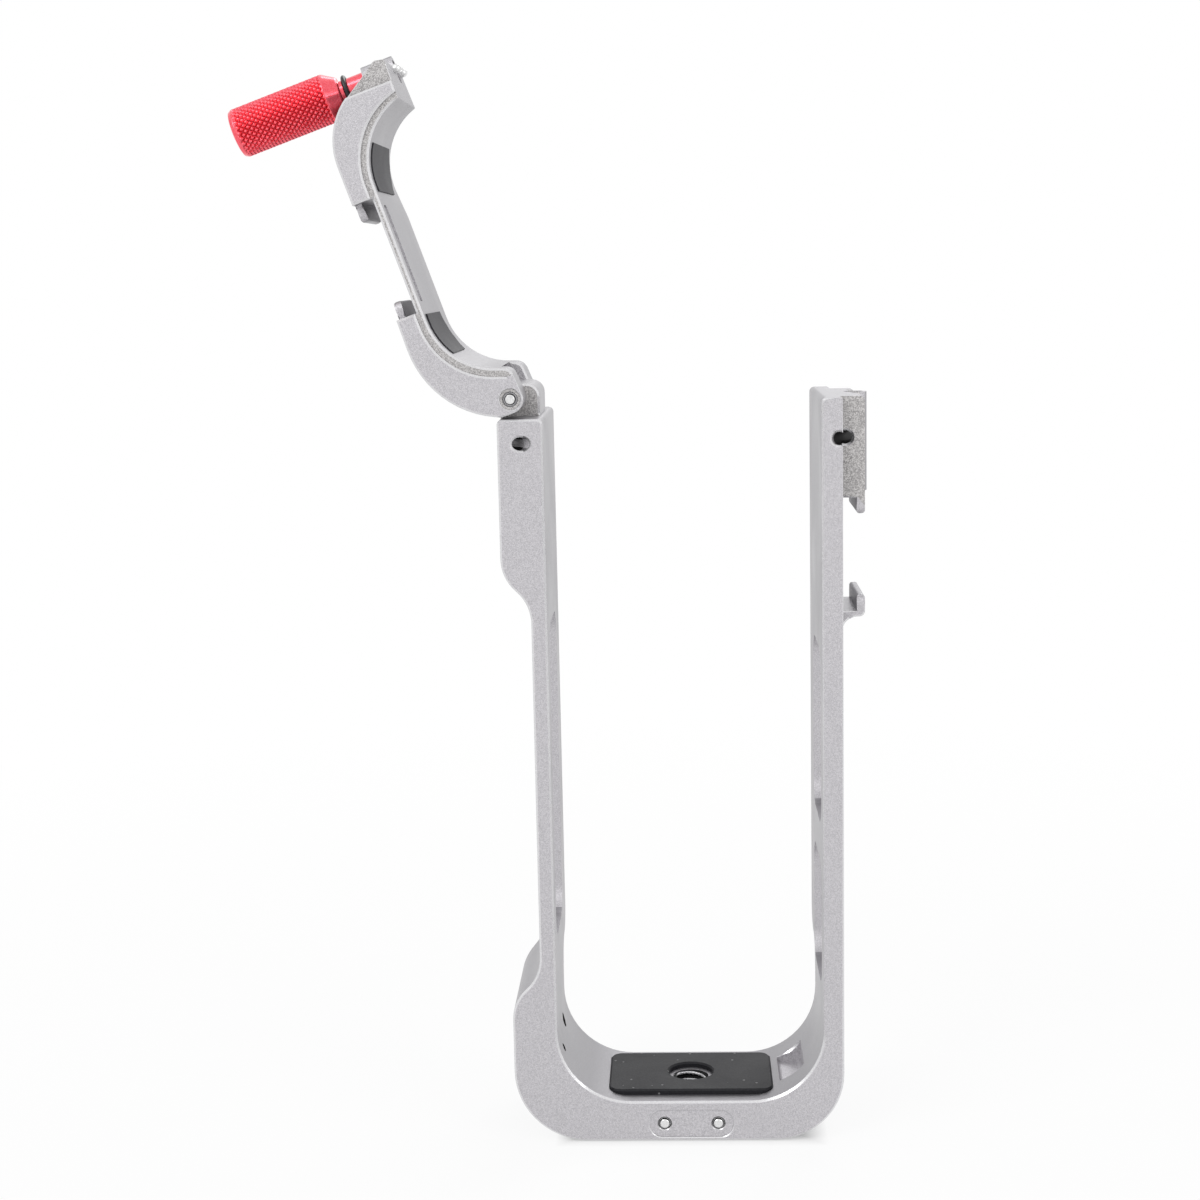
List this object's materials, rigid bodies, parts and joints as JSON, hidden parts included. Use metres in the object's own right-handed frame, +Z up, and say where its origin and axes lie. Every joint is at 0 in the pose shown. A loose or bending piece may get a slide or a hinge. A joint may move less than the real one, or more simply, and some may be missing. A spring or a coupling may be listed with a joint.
{
  "type": "camera cage",
  "caption": "U-shaped aluminium cage for a tall slim camera, with a hinged top arm open, a red knurled latch knob, two cold shoes and folding tripod fingers.",
  "frame": {"origin": "centre of the tripod thread's mouth in the base's underside", "axes": "+X to the right seen from the front, +Y from the front face to the back, +Z up along the legs"},
  "size_m": [0.1088, 0.033, 0.1878],
  "materials": {
    "cage_metal": "bead-blasted and clear anodised, with bright cut edges",
    "arm_metal": "bead-blasted and clear anodised, with bright cut edges",
    "finger_metal": "bead-blasted and clear anodised",
    "knob_metal": "red anodised, diamond knurled",
    "steel": "bright turned",
    "pad_rubber": "matte",
    "ring_rubber": "matte"
  },
  "bodies": {
    "frame": {"cage_frame": "cage_metal", "base_pad": "pad_rubber", "finger_pin_left": "steel", "finger_pin_right": "steel", "finger_washer_left": "steel", "finger_washer_right": "steel", "hinge_pin": "steel", "hinge_washer_front": "steel", "hinge_washer_rear": "steel", "latch_insert": "steel"},
    "arm": {"arm": "arm_metal", "arm_pad_hinge_side": "pad_rubber", "arm_pad_latch_side": "pad_rubber", "locating_pin_front": "steel", "locating_pin_rear": "steel"},
    "latch_ring": {"neck_ring": "ring_rubber"},
    "knob": {"knob": "knob_metal", "knob_stud": "steel"},
    "finger_left": {"finger_left": "finger_metal"},
    "finger_right": {"finger_right": "finger_metal"}
  },
  "joints": [
    {"name": "arm_hinge", "type": "hinge", "parent": "frame", "child": "arm", "pos_m": [-0.02848, 0.0045, 0.13017], "axis": [0, 1, 0], "range_deg": [0, 109.5]},
    {"name": "latch_slide", "type": "slide", "parent": "arm", "child": "latch_ring", "axis": [0.9426, 0, 0.3338], "range_m": [0, 0.003]},
    {"name": "knob_turn", "type": "hinge", "parent": "latch_ring", "child": "knob", "pos_m": [-0.04791, 0.004, 0.18503], "axis": [-0.9426, 0, -0.3338], "continuous": true},
    {"name": "finger_left_fold", "type": "hinge", "parent": "frame", "child": "finger_left", "pos_m": [-0.0047, 0, 0.00308], "axis": [0, -1, 0], "range_deg": [0, 90]},
    {"name": "finger_right_fold", "type": "hinge", "parent": "frame", "child": "finger_right", "pos_m": [0.0047, 0, 0.00308], "axis": [0, 1, 0], "range_deg": [0, 90]}
  ]
}
